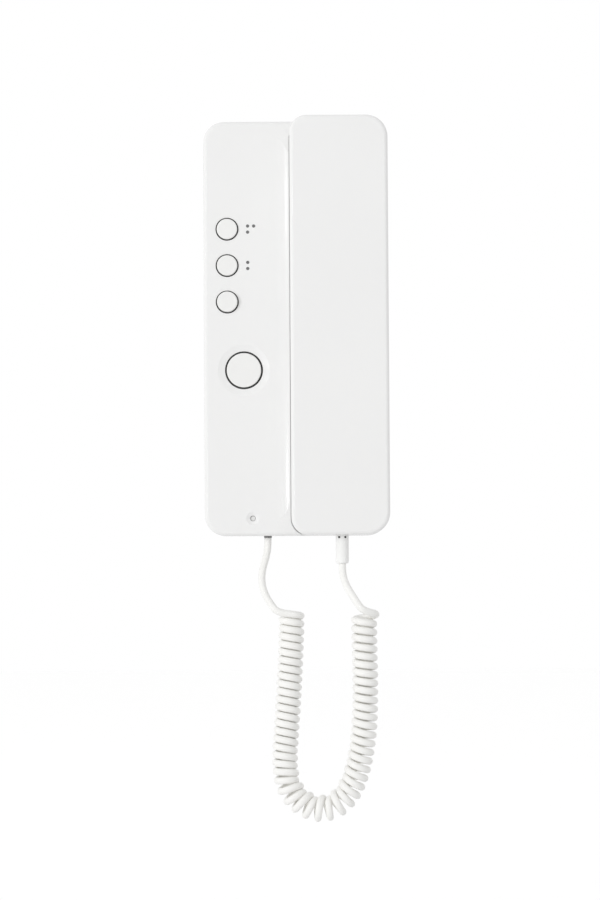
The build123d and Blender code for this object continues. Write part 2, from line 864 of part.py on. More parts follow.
def cord_saddle():
    """The rib that carries the cord's plug inside the handset."""
    y = inner_plug_top() - inner_plug_length / 2
    top = handset_split - inner_plug_height / 2 - saddle_gap
    return slab(boot_x - saddle_width / 2, boot_x + saddle_width / 2, y - saddle_width / 4,
                y + saddle_width / 4, handset_back + handset_wall / 2, top)


def receiver_gasket():
    low = cup_floor + handset_wall + gasket_gap
    return tube(handset_x, ear_y, low, low + gasket_thick, receiver_radius, receiver_radius - gasket_width)


def receiver_frame():
    low = cup_floor + handset_wall + gasket_gap + gasket_thick
    frame = rod(handset_x, ear_y, low, low + receiver_height, receiver_radius)
    inside = receiver_radius - receiver_wall
    return frame - rod(handset_x, ear_y, low - over, low + receiver_height / 2, inside)


def receiver_cone():
    floor = cup_floor + handset_wall + gasket_gap + gasket_thick + receiver_height / 2
    paper = cone(receiver_height / 2 - receiver_wall, receiver_radius - receiver_wall - pin_clearance)
    return Pos(handset_x, ear_y, floor) * Rot(180, 0, 0) * paper


def microphone():
    low = cup_floor + handset_wall + mic_boot_wall + gasket_gap
    can = rod(handset_x, mouth_y, low, low + capsule_height, capsule_radius)
    return chamfer(can.edges().group_by(Axis.Z)[0], capsule_radius / 12)


def microphone_boot():
    low = cup_floor + handset_wall + gasket_gap
    outside = capsule_radius + capsule_clearance + mic_boot_wall
    inside = capsule_radius + capsule_clearance
    boot = rod(handset_x, mouth_y, low, low + mic_boot_height, outside)
    boot -= rod(handset_x, mouth_y, low + mic_boot_wall, low + mic_boot_height + over, inside)
    return boot - rod(handset_x, mouth_y, low - over, low + mic_boot_height, mic_mouth_radius)


def ballast_low():
    return handset_back + arch_rise + handset_wall + ballast_gap


def ballast_weight():
    bar = slab(handset_x - ballast_width / 2, handset_x + ballast_width / 2,
               -ballast_length / 2, ballast_length / 2, ballast_low(), ballast_low() + ballast_thick)
    return chamfer(bar.edges().group_by(Axis.Z)[-1], ballast_thick / 10)


def shell_screws():
    screws = []
    for y in (-shell_screw_y, shell_screw_y):
        face = handset_back + shell_screw_floor
        head = rod(handset_x, y, face - shell_screw_head_height, face, shell_screw_head)
        head = fillet(head.edges().group_by(Axis.Z)[0], shell_screw_head_height / 3)
        slot = shell_screw_head / 4
        cross = Box(shell_screw_head * 4 / 3, slot, 2 * slot) + Box(slot, shell_screw_head * 4 / 3, 2 * slot)
        head -= Pos(handset_x, y, face - shell_screw_head_height) * cross
        screws.append(head + rod(handset_x, y, face, face + shell_screw_length, shell_screw_radius))
    return Compound(screws)


def handset_cord_boot():
    """The moulded boot at the handset's lower end, held by its flange, with two blind holes in front."""
    low = -handset_height / 2
    body = bar_up(boot_x, low - boot_out, low + handset_wall + boot_flange_gap, handset_split, boot_radius)
    body = fillet(body.edges().group_by(Axis.Y)[0], boot_edge)
    y0 = low + handset_wall + lip_thick + boot_flange_gap
    body += bar_up(boot_x, low, y0 + boot_flange_thick, handset_split, boot_radius)
    body += bar_up(boot_x, y0, y0 + boot_flange_thick, handset_split, boot_flange_radius)
    floor = handset_split + boot_radius - boot_hole_depth - boot_hole_radius
    for side in (-1, 1):
        body -= rod(boot_x + side * boot_hole_half, low - boot_hole_drop, floor,
                    handset_split + boot_radius + over, boot_hole_radius)
    return body


def inner_plug_top():
    """The upper end of the cord's plug inside the handset."""
    flange_low = -handset_height / 2 + handset_wall + lip_thick + boot_flange_gap
    return flange_low + boot_flange_thick + inner_plug_length


def handset_cord_plug():
    y1 = inner_plug_top()
    z = handset_split - inner_plug_height / 2
    plug = slab(boot_x - inner_plug_width / 2, boot_x + inner_plug_width / 2,
                y1 - inner_plug_length, y1, z, z + inner_plug_height)
    return chamfer(plug.edges().filter_by(Axis.Z), inner_plug_width / 12)


# Cord jack, plug and bushing of the base

def base_cord_jack():
    y0 = board_bottom
    low = board_top_face
    half = jack_width / 2
    jack = slab(exit_x - half, exit_x + half, y0, y0 + jack_length, low, low + jack_height)
    inner = half - jack_wall
    well_half = plug_half_height() + plug_clearance
    well = slab(exit_x - inner, exit_x + inner, y0 - over, y0 + plug_length + plug_clearance,
                exit_depth - well_half, exit_depth + well_half)
    return jack - well


def plug_half_height():
    room = min(exit_depth - board_top_face, board_top_face + jack_height - exit_depth)
    return room - jack_wall - plug_clearance


def base_cord_plug():
    """The plug of the cord in its jack, with the short piece of cord that reaches the bushing."""
    half = jack_width / 2 - jack_wall - plug_clearance
    y0 = board_bottom
    plug = slab(exit_x - half, exit_x + half, y0, y0 + plug_length,
                exit_depth - plug_half_height(), exit_depth + plug_half_height())
    plug = chamfer(plug.edges().group_by(Axis.Y)[-1], jack_wall / 2)
    inside = base_bottom + cover_wall + bushing_flange_thick
    return plug + bar_up(exit_x, inside, y0, exit_depth, cord_diameter / 2)


def base_cord_bushing():
    """The dark collar in the cover's lower wall that the cord leaves through."""
    inside = base_bottom + cover_wall
    top = inside + bushing_flange_thick
    body = bar_up(exit_x, base_bottom - bushing_out, top, exit_depth, bushing_radius)
    return body + bar_up(exit_x, inside + plate_clearance / 3, top, exit_depth, bushing_flange)


# Cord, drawn standing

def spline_samples(points):
    """Points and directions along the smooth line that these points control."""
    points = [Vector(*p) for p in points]
    joints = [points[0]] + [(a + b) * 0.5 for a, b in zip(points[1:-2], points[2:-1])] + [points[-1]]
    samples = []
    for start, middle, end in zip(joints[:-1], points[1:-1], joints[1:]):
        for i in range(steps_per_span):
            t = i / steps_per_span
            place = start * (1 - t) ** 2 + middle * (2 * t * (1 - t)) + end * t ** 2
            heading = ((middle - start) * (1 - t) + (end - middle) * t).normalized()
            samples.append((place, heading))
    samples.append((points[-1], (points[-1] - points[-2]).normalized()))
    return samples


def coil_radius():
    return (coil_diameter - cord_diameter) / 2


def coil_table():
    """For each sample of the centre line: how many turns the cord has made, its place and its heading."""
    samples = spline_samples(coil_points)
    turns, table = 0.0, []
    for i, (place, heading) in enumerate(samples):
        table.append((turns, place, heading))
        if i + 1 < len(samples):
            step = (samples[i + 1][0] - place).length
            bend = math.radians(heading.get_angle(samples[i + 1][1])) / step
            pitch = max(coil_pitch, (cord_diameter + self_gap) / (1 - coil_radius() * bend))
            turns += step / pitch
    total = round(turns) - coil_last_share
    return [(t * total / turns, place, heading) for t, place, heading in table], total


def coil_place(table, turn):
    """The cord's own centre after a number of turns."""
    low, high = 0, len(table) - 1
    while high - low > 1:
        middle = (low + high) // 2
        if table[middle][0] <= turn:
            low = middle
        else:
            high = middle
    share = (turn - table[low][0]) / (table[high][0] - table[low][0])
    place = table[low][1] * (1 - share) + table[high][1] * share
    heading = (table[low][2] * (1 - share) + table[high][2] * share).normalized()
    front = Vector(0, -1, 0)
    front = (front - heading * front.dot(heading)).normalized()
    side = front.cross(heading)
    angle = 2 * math.pi * turn
    return place + (front * math.cos(angle) + side * math.sin(angle)) * coil_radius()


def coil_heading(table, turn, total):
    low, high = max(turn - heading_step, 0), min(turn + heading_step, total)
    return (coil_place(table, high) - coil_place(table, low)).normalized()


def biarc(start, start_heading, end, end_heading):
    """Two arcs that leave and arrive along the given headings and meet smoothly."""
    chord = end - start
    both = start_heading + end_heading
    bend = 2 * (1 - start_heading.dot(end_heading))
    along = chord.dot(both)
    reach = (math.sqrt(along ** 2 + bend * chord.dot(chord)) - along) / bend
    middle = (start + start_heading * reach + end - end_heading * reach) * 0.5
    heading = (end - end_heading * reach - start - start_heading * reach).normalized()
    return Edge.make_tangent_arc(start, start_heading, middle), Edge.make_tangent_arc(middle, heading, end)


def sweep_round(wire, start, heading, diameter):
    return sweep(Plane(origin=start, z_dir=heading) * Circle(diameter / 2), path=wire)


def coil_ends():
    """Where the coil's straight ends meet the two leads, with the headings there."""
    table, total = coil_table()
    first, last = coil_heading(table, 0, total), coil_heading(table, total, total)
    return (coil_place(table, 0) - first * cord_diameter, first,
            coil_place(table, total) + last * cord_diameter, last)


def curly_cord():
    table, total = coil_table()
    start, first, end, last = coil_ends()
    count = round(2 * total)
    places = [coil_place(table, total * i / count) for i in range(count + 1)]
    headings = [coil_heading(table, total * i / count, total) for i in range(count + 1)]
    edges = [Edge.make_line(start, places[0])]
    for i in range(count):
        edges += biarc(places[i], headings[i], places[i + 1], headings[i + 1])
    edges.append(Edge.make_line(places[-1], end))
    wire = Wire(edges)
    cord = sweep_round(wire, start, first, cord_diameter)
    report_tube("curly cord", cord, wire, cord_diameter)
    report_self_gap(table, total)
    return cord


def report_tube(name, solid, wire, diameter):
    wanted = math.pi * diameter ** 2 / 4 * wire.length
    print(f"{name}: length {wire.length:.1f} mm, volume {solid.volume:.1f}, section x length {wanted:.1f}")


def report_self_gap(table, total):
    """Prints the least gap between turns, on points along the coil."""
    count = round(2 * total) * checks_per_half_turn
    places = [coil_place(table, total * i / count) for i in range(count + 1)]
    span = checked_half_turns * checks_per_half_turn
    least = min(
        (places[i] - places[j]).length
        for i in range(count + 1)
        for j in range(i + checks_per_half_turn, min(i + span, count + 1))
    )
    print(f"curly cord: {total:.1f} turns, least gap to itself {least - cord_diameter:.2f} mm")


def lead(name, points):
    """A plain stretch of cord, as straight runs joined by arcs as large as the runs allow."""
    points = [Vector(*p) for p in points]
    runs = [(b - a) for a, b in zip(points, points[1:])]
    radii = []
    for before, after in zip(runs, runs[1:]):
        half_turn = math.radians(before.get_angle(after)) / 2
        radii.append(corner_share * min(before.length, after.length) / math.tan(half_turn))
    print(f"{name}: runs {[round(r.length, 1) for r in runs]}, radii {[round(r, 1) for r in radii]}")
    wire = FilletPolyline(*points, radius=radii)
    solid = sweep_round(wire, points[0], runs[0].normalized(), cord_diameter)
    report_tube(name, solid, wire, cord_diameter)
    return solid


def base_lead():
    start, first, _, _ = coil_ends()
    leave = Vector(exit_x, -exit_depth, base_bottom - bushing_out)
    below = leave - Vector(0, 0, base_first_run)
    return lead("base lead", [leave, below] + base_lead_points + [start - first * base_last_run, start])


def handset_lead():
    _, _, end, last = coil_ends()
    leave = Vector(boot_x, -handset_split, -handset_height / 2 - boot_out)
    below = leave - Vector(0, 0, handset_first_run)
    return lead("handset lead", [leave, below] + handset_lead_points + [end + last * handset_last_run, end])


def hook_spring():
    """The small spring under the lever's arm, as an open helix with straight ends."""
    y = hook_pivot_y + spring_at
    low = plate_thick + spring_seat_gap + spring_wire / 2
    high = hook_axis_z - hook_thick / 2 - spring_seat_gap - spring_wire / 2
    quarters = 4 * spring_turns
    rise = (high - low) / quarters
    slope = rise / (spring_radius * math.pi / 2)
    places, headings = [], []
    for i in range(quarters + 1):
        across, up = math.cos(i * math.pi / 2), math.sin(i * math.pi / 2)
        places.append(Vector(hook_x + spring_radius * across, y + spring_radius * up, low + i * rise))
        headings.append(Vector(-up, across, slope).normalized())
    edges = []
    for i in range(quarters):
        edges += biarc(places[i], headings[i], places[i + 1], headings[i + 1])
    return sweep_round(Wire(edges), places[0], headings[0], spring_wire)


def main():
    os.makedirs("parts", exist_ok=True)
    save("front_cover", front_cover())
    save("wall_plate", wall_plate())
    save("cable_entry_lining", cable_entry_lining())
    save("main_board", main_board())
    save("board_screws", board_screws())
    save("key_switches", key_switches())
    save("door_switch", door_switch())
    stem_foot = board_top_face + plunger_height
    for name, rise in key_rises.items():
        y = key_ys[name]
        save(f"{name}_key", key(key_x, y, key_radius, key_gap, rise, stem_radius, stem_foot, key_face))
        save(f"{name}_key_plunger", plunger(key_x, y, plunger_height, plunger_radius, key_travel))
    door_foot = board_top_face + door_plunger_height
    save("door_key", key(door_x, door_y, door_key_radius, door_key_gap, door_key_rise,
                         door_stem_radius, door_foot, dish_face))
    save("door_key_plunger",
         plunger(door_x, door_y, door_plunger_height, door_plunger_radius, door_key_travel))
    save("terminal_block", terminal_block())
    save("terminal_screws", terminal_screws())
    save("board_chips", board_chips())
    save("capacitors", capacitors())
    save("line_transformer", line_transformer())
    save("status_led", status_led())
    save("light_pipe", light_pipe())
    save("printed_dots", printed_dots())
    save("call_speaker_frame", call_speaker_frame())
    save("call_speaker_cone", call_speaker_cone())
    save("hook_lever", hook_lever())
    save("hook_pivot_pin", hook_pivot_pin())
    save("hook_spring", hook_spring())
    save("hook_switch", hook_switch())
    save("base_cord_jack", base_cord_jack())
    save("base_cord_plug", base_cord_plug())
    save("base_cord_bushing", base_cord_bushing())
    save("handset_front", handset_front_shell())
    save("handset_rear", handset_rear_shell())
    save("receiver_gasket", receiver_gasket())
    save("receiver_frame", receiver_frame())
    save("receiver_cone", receiver_cone())
    save("microphone", microphone())
    save("microphone_boot", microphone_boot())
    save("ballast_weight", ballast_weight())
    save("shell_screws", shell_screws())
    save("handset_cord_boot", handset_cord_boot())
    save("handset_cord_plug", handset_cord_plug())
    save("base_lead", base_lead(), standing=True)
    save("curly_cord", curly_cord(), standing=True)
    save("handset_lead", handset_lead(), standing=True)


main()
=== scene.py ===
import json
import math
import bpy
import bmesh
import numpy as np
from mathutils import Matrix, Vector


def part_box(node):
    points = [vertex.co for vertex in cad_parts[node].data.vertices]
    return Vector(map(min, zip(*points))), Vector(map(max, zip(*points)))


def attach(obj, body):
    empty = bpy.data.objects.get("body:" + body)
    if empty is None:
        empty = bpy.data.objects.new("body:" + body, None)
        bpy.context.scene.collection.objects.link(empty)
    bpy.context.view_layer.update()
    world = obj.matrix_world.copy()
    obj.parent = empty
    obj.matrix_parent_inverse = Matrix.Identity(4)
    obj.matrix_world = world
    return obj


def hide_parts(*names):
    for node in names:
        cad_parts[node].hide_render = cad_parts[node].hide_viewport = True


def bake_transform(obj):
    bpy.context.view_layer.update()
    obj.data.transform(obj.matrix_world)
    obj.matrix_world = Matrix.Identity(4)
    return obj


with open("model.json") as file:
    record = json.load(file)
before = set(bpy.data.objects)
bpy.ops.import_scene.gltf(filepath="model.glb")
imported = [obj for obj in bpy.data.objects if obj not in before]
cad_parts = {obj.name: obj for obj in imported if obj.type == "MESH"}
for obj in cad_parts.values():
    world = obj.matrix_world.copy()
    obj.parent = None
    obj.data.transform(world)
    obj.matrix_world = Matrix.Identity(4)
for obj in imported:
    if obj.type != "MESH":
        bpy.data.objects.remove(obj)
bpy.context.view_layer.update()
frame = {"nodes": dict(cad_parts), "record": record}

# A wall door phone and its handset on a curly cord. Sizes and places are in millimetres, and MM makes them
# metres; the lamps alone are in metres.
MM = 0.001
NODES = frame["nodes"]

# Camera: the eye is level with the base's lower edge, in front of it, and looks slightly up
EYE = Vector((1.77, -1300.0, -111.06)) * MM
PITCH = math.radians(2.295)
ROLL = math.radians(-0.339)
LENS = 104.57
SENSOR_WIDTH = 36.0
CLIP_NEAR, CLIP_FAR = 50.0, 30000.0

# Cord: the route's control points, as the part's source has them. A last run is the way from a lead's
# end back to the control point before it.
CORD_DIAMETER = 3.5
CORD_SIDES = 14
COIL_RADIUS = 4.6
BASE_COIL_PITCH, HANDSET_COIL_PITCH = 3.9, 4.15
BEND_PITCH = 3.45    # way between turns on the bend's inner side, before COIL_TURNS sets their count
COIL_TURNS = 50.72
COIL_SPREAD = 0.7    # how much wider and narrower the turns get in the bend
BEND_SMOOTHING = 31
POINTS_PER_TURN = 40
COIL_ROUTE_STEPS, LEAD_STEPS = 24, 12
BASE_EXIT = (-14.25, -12.0, -102.55)
BASE_LEAD = [BASE_EXIT, (-14.25, -12.0, -107.55), (-15.3, -12.4, -112.4), (-17.1, -13.4, -118.4),
             (-17.5, -15.0, -124.4), (-16.0, -17.2, -130.0), (-13.0, -19.6, -135.0)]
BASE_LAST_RUN = 3.8
HANDSET_EXIT = (22.0, -31.0, -115.4)
HANDSET_LEAD = [HANDSET_EXIT, (22.0, -31.0, -119.4), (22.8, -32.4, -123.4), (24.6, -34.8, -127.6),
                (26.9, -37.4, -131.2), (29.2, -39.2, -134.9), (31.6, -39.8, -138.0)]
HANDSET_LAST_RUN = 3.3
COIL_ROUTE = [(-2.8, -16.0, -140.0), (-2.9, -16.0, -149.0), (-3.6, -16.4, -164.0), (-4.5, -17.0, -180.0),
              (-5.6, -17.8, -196.0), (-6.8, -18.7, -211.0), (-5.4, -19.9, -224.4), (2.2, -21.4, -232.8),
              (11.0, -23.0, -235.2), (19.6, -24.6, -232.6), (26.2, -26.2, -224.0), (30.2, -27.6, -210.5),
              (32.3, -28.8, -195.0), (32.8, -29.6, -178.0), (32.6, -30.0, -162.0), (32.4, -30.0, -149.5),
              (32.4, -30.0, -140.8)]

# Black rubber rings in the gaps round the keys, whose black is painted shade of those gaps: the keys'
# radius, the gap round them, and how far a ring's face stands off the wall
GAP_SHADE_THICKNESS = 0.8
GAP_SHADE_CLEARANCE = 0.04
SMALL_KEY_RADIUS, SMALL_KEY_GAP, SMALL_GAP_SHADE_FACE = 5.0, 0.65, 23.3
DOOR_KEY_RADIUS, DOOR_KEY_GAP, DOOR_GAP_SHADE_FACE = 8.4, 0.9, 22.6
GAP_SHADE_RESOLUTION = 72

# Black pins in the holes of the handset's cord boot, painted shade of those holes
BOOT_MIDDLE = (22.0, -33.2, -102.6)
BOOT_PIN_HALF = 1.48
BOOT_PIN_RADIUS = 0.52
BOOT_PIN_STRETCH = 1.4
BOOT_PIN_SEGMENTS = 20

# Floor and light
FLOOR_HEIGHT = -300.0
FLOOR_HALF = 3000.0
FLOOR_TONES = (0.9, 0.9, 0.9), (0.88, 0.88, 0.88)
WORLD_LIGHT = 0.76
FLOOR_LIFT = 0.28    # what the open floor lacks of white
WHITE_BOUNCES = 12    # white plastic lights the narrow gaps beside it

# Lamps: place, aim and size in metres, and watts. The windows give the long highlights on the rounded
# edge beside the handset.
KEY_LIGHT = ((-2.3, -2.6, 0.1), (0.0, 0.0, -0.05), (1.4, 1.4), 46.0)
UPPER_WINDOW = ((-0.62, -1.15, 0.24), (0.0, -0.02, 0.055), (0.1, 0.024), 0.16)
LOWER_WINDOW = ((-0.62, -1.15, -0.04), (0.0, -0.02, -0.07), (0.1, 0.026), 0.17)

# Moulded surfaces: how fine their grain and their slow waves are, and the waves' share
GRAIN_SCALE, WAVE_SCALE, WAVE_SHARE = 2500.0, 45.0, 0.7
COAT_ROUGHNESS = 0.06


def add_object(name, data):
    made = bpy.data.objects.new(name, data)
    bpy.context.scene.collection.objects.link(made)
    return made


def make_camera():
    camera = add_object("camera", bpy.data.cameras.new("camera"))
    camera.data.sensor_width = SENSOR_WIDTH
    camera.data.lens = LENS
    camera.data.clip_start = CLIP_NEAR * MM
    camera.data.clip_end = CLIP_FAR * MM
    camera.matrix_world = (Matrix.Translation(EYE) @ Matrix.Rotation(math.pi / 2 + PITCH, 4, "X")
                           @ Matrix.Rotation(ROLL, 4, "Z"))
    bpy.context.scene.camera = camera


# Cord

def spline_line(points, resolution):
    """Points along the smooth NURBS line that these control points give, in metres."""
    curve = bpy.data.curves.new("route", "CURVE")
    curve.dimensions = "3D"
    spline = curve.splines.new("NURBS")
    spline.points.add(len(points) - 1)
    for place, point in zip(spline.points, points):
        place.co = (*(Vector(point) * MM), 1.0)
    spline.order_u = 3
    spline.use_endpoint_u = True
    spline.resolution_u = resolution
    route = add_object("route", curve)
    mesh = bpy.data.meshes.new_from_object(route.evaluated_get(bpy.context.evaluated_depsgraph_get()))
    line = np.array([v.co for v in mesh.vertices], float)
    bpy.data.objects.remove(route)
    bpy.data.curves.remove(curve)
    bpy.data.meshes.remove(mesh)
    return line


def unit_rows(rows):
    return rows / np.linalg.norm(rows, axis=1)[:, None]


def coil_line():
    """The cord's own centre through the curly part, in turns round the route."""
    middle = spline_line(COIL_ROUTE, COIL_ROUTE_STEPS)
    run = np.concatenate([[0.0], np.cumsum(np.linalg.norm(np.diff(middle, axis=0), axis=1))])
    heading = unit_rows(np.gradient(middle, run, axis=0))
    bend = np.linalg.norm(np.gradient(heading, run, axis=0), axis=1)
    rest = np.where(heading[:, 2] < 0, BASE_COIL_PITCH, HANDSET_COIL_PITCH) * MM
    tight = BEND_PITCH * MM / (1 - COIL_RADIUS * MM * bend)
    pitch = np.maximum(rest, tight)
    turns = np.concatenate([[0.0], np.cumsum(np.diff(run) * (1 / pitch[1:] + 1 / pitch[:-1]) / 2)])
    turns *= COIL_TURNS / turns[-1]
    turn = np.linspace(0, turns[-1], int(turns[-1] * POINTS_PER_TURN))
    where = np.interp(turn, turns, run)
    place = np.stack([np.interp(where, run, middle[:, k]) for k in range(3)], 1)
    along = unit_rows(np.stack([np.interp(where, run, heading[:, k]) for k in range(3)], 1))
    front = np.array([0.0, -1.0, 0.0])
    front = unit_rows(front - along * (along @ front)[:, None])
    side = np.cross(front, along)
    angle = 2 * math.pi * turn[:, None]
    # In the bend, every other turn's inner side is a little wider, so that neighbours lie over each other
    window = np.hanning(BEND_SMOOTHING)
    bent = np.interp(where, run, np.convolve(bend / bend.max(), window / window.sum(), "same"))[:, None]
    radius = COIL_RADIUS + COIL_SPREAD * bent * np.cos(angle / 2 - math.pi / 4)
    return place + (front * np.cos(angle) + side * np.sin(angle)) * radius * MM


def lead_line(points, coil_end, coil_next, last_run):
    """A plain stretch of cord that runs smoothly into the coil's end."""
    heading = (coil_end - coil_next) / np.linalg.norm(coil_end - coil_next)
    start = coil_end / MM + heading * CORD_DIAMETER
    return spline_line(points + [tuple(start + heading * last_run), tuple(start)], LEAD_STEPS)


def cord_line():
    coil = coil_line()
    base = lead_line(BASE_LEAD, coil[0], coil[1], BASE_LAST_RUN)
    handset = lead_line(HANDSET_LEAD, coil[-1], coil[-2], HANDSET_LAST_RUN)
    return np.concatenate([base, coil, handset[::-1]])


def tube_mesh(name, line, radius, sides):
    """A closed round tube along a line, without twist."""
    heading = unit_rows(np.gradient(line, axis=0))
    across = np.cross(heading[0], (0.0, 1.0, 0.0))
    across /= np.linalg.norm(across)
    angles = np.linspace(0, 2 * math.pi, sides, endpoint=False)
    rings = []
    for place, along in zip(line, heading):
        across = across - along * across.dot(along)
        across /= np.linalg.norm(across)
        up = np.cross(along, across)
        rings.append(place + radius * (np.cos(angles)[:, None] * across + np.sin(angles)[:, None] * up))
    vertices = np.concatenate(rings)
    count = len(line)
    faces = []
    for low in range(0, (count - 1) * sides, sides):
        high = low + sides
        for k in range(sides):
            after = (k + 1) % sides
            faces.append((low + k, low + after, high + after, high + k))
    faces.append(tuple(reversed(range(sides))))
    faces.append(tuple((count - 1) * sides + k for k in range(sides)))
    mesh = bpy.data.meshes.new(name)
    mesh.from_pydata(vertices.tolist(), [], faces)
    mesh.shade_smooth()
    return mesh


def make_cord(material):
    line = cord_line()
    cord = add_object("handset_cord", tube_mesh("handset_cord", line, CORD_DIAMETER * MM / 2, CORD_SIDES))
    cord.data.materials.append(material)
    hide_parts("base_lead", "curly_cord", "handset_lead")
    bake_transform(cord)


# Materials

def group_node(nodes, group, **values):
    node = nodes.new("ShaderNodeGroup")
    node.node_tree = group
    for name, value in values.items():
        node.inputs[name].default_value = value
    return node


def new_group(name, inputs, outputs):
    """A shader group that takes a place and numbers, with their usual values, and gives numbers."""
    group = bpy.data.node_groups.new(name, "ShaderNodeTree")
    group.interface.new_socket("Place", in_out="INPUT", socket_type="NodeSocketVector")
    for label, value in inputs.items():
        socket = group.interface.new_socket(label, in_out="INPUT", socket_type="NodeSocketFloat")
        socket.default_value = value
    for label in outputs:
        group.interface.new_socket(label, in_out="OUTPUT", socket_type="NodeSocketFloat")
    return group, group.nodes.new("NodeGroupInput"), group.nodes.new("NodeGroupOutput")


def noise(group, place, scale, detail, roughness):
    node = group.nodes.new("ShaderNodeTexNoise")
    node.inputs["Detail"].default_value = detail
    node.inputs["Roughness"].default_value = roughness
    group.links.new(place, node.inputs["Vector"])
    group.links.new(scale, node.inputs["Scale"])
    return node.outputs["Fac"]


def moulded_skin_group():
    """Fine grain of a mould, and slow waves where the plastic shrank."""
    usual = {"Grain Scale": GRAIN_SCALE, "Wave Scale": WAVE_SCALE, "Wave Share": WAVE_SHARE}
    group, start, end = new_group("moulded_skin", usual, ["Height", "Waves"])
    grain = noise(group, start.outputs["Place"], start.outputs["Grain Scale"], 2.0, 0.6)
    waves = noise(group, start.outputs["Place"], start.outputs["Wave Scale"], 1.0, 0.4)
    mix = group.nodes.new("ShaderNodeMix")
    group.links.new(start.outputs["Wave Share"], mix.inputs["Factor"])
    group.links.new(grain, mix.inputs["A"])
    group.links.new(waves, mix.inputs["B"])
    group.links.new(mix.outputs["Result"], end.inputs["Height"])
    group.links.new(waves, end.inputs["Waves"])
    return group


def handling_group():
    """Faint marks where hands and cloths have touched a surface: 0 is clean, 1 is marked."""
    group, start, end = new_group("handling", {"Scale": 60.0, "Least": 0.45, "Most": 0.75}, ["Marks"])
    spots = noise(group, start.outputs["Place"], start.outputs["Scale"], 6.0, 0.7)
    spread = group.nodes.new("ShaderNodeMapRange")
    group.links.new(spots, spread.inputs["Value"])
    group.links.new(start.outputs["Least"], spread.inputs["From Min"])
    group.links.new(start.outputs["Most"], spread.inputs["From Max"])
    group.links.new(spread.outputs["Result"], end.inputs["Marks"])
    return group


def brushed_group():
    """Lines that a brush leaves along the object's X, for colour and relief."""
    group, start, end = new_group("brushed", {"Scale": 900.0, "Along": 0.05}, ["Lines"])
    stretch = group.nodes.new("ShaderNodeCombineXYZ")
    stretch.inputs[1].default_value = 1.0
    stretch.inputs[2].default_value = 1.0
    group.links.new(start.outputs["Along"], stretch.inputs[0])
    scaled = group.nodes.new("ShaderNodeVectorMath")
    scaled.operation = "MULTIPLY"
    group.links.new(start.outputs["Place"], scaled.inputs[0])
    group.links.new(stretch.outputs[0], scaled.inputs[1])
    group.links.new(noise(group, scaled.outputs[0], start.outputs["Scale"], 3.0, 0.6), end.inputs["Lines"])
    return group


SKIN, HANDLING, BRUSHED = moulded_skin_group(), handling_group(), brushed_group()


def new_material(name):
    """A material with its tree, its Principled shader, and the place on the object itself."""
    material = bpy.data.materials.new(name)
    material.use_nodes = True
    tree = material.node_tree
    shader = tree.nodes["Principled BSDF"]
    place = tree.nodes.new("ShaderNodeTexCoord").outputs["Object"]
    return material, tree, shader, place


def blend_colours(tree, factor, first, second):
    mix = tree.nodes.new("ShaderNodeMix")
    mix.data_type = "RGBA"
    mix.inputs["A"].default_value = (*first, 1.0)
    mix.inputs["B"].default_value = (*second, 1.0)
    tree.links.new(factor, mix.inputs["Factor"])
    return mix.outputs["Result"]


def spread_value(tree, value, low, high):
    node = tree.nodes.new("ShaderNodeMapRange")
    node.inputs["To Min"].default_value = low
    node.inputs["To Max"].default_value = high
    tree.links.new(value, node.inputs["Value"])
    return node.outputs["Result"]


def bump(tree, shader, height, distance):
    node = tree.nodes.new("ShaderNodeBump")
    node.inputs["Distance"].default_value = distance * MM
    tree.links.new(height, node.inputs["Height"])
    tree.links.new(node.outputs["Normal"], shader.inputs["Normal"])


def handled_gloss(tree, shader, place, rough):
    """Roughness that goes from its clean to its marked value where hands have been."""
    marks = group_node(tree.nodes, HANDLING)
    tree.links.new(place, marks.inputs["Place"])
    tree.links.new(spread_value(tree, marks.outputs["Marks"], *rough), shader.inputs["Roughness"])


def plastic(name, colour, tone, rough, relief, grain=GRAIN_SCALE, waves=WAVE_SCALE, wave_share=WAVE_SHARE,
            coat=0.0, sheen=0.0):
    """Moulded plastic or rubber: two close tones, mould grain, and marks that change its gloss."""
    material, tree, shader, place = new_material(name)
    scales = {"Grain Scale": grain, "Wave Scale": waves, "Wave Share": wave_share}
    skin = group_node(tree.nodes, SKIN, **scales)
    tree.links.new(place, skin.inputs["Place"])
    tree.links.new(blend_colours(tree, skin.outputs["Waves"], colour, tone), shader.inputs["Base Color"])
    handled_gloss(tree, shader, place, rough)
    shader.inputs["Coat Weight"].default_value = coat
    shader.inputs["Coat Roughness"].default_value = COAT_ROUGHNESS
    shader.inputs["Sheen Weight"].default_value = sheen
    bump(tree, shader, skin.outputs["Height"], relief)
    return material


def metal(name, colour, tone, rough, relief, scale=900.0, along=0.05):
    """Brushed or drawn metal in two close tones, with marks that change its gloss."""
    material, tree, shader, place = new_material(name)
    brushed = group_node(tree.nodes, BRUSHED, Scale=scale, Along=along)
    tree.links.new(place, brushed.inputs["Place"])
    tree.links.new(blend_colours(tree, brushed.outputs["Lines"], colour, tone), shader.inputs["Base Color"])
    handled_gloss(tree, shader, place, rough)
    shader.inputs["Metallic"].default_value = 1.0
    bump(tree, shader, brushed.outputs["Lines"], relief)
    return material


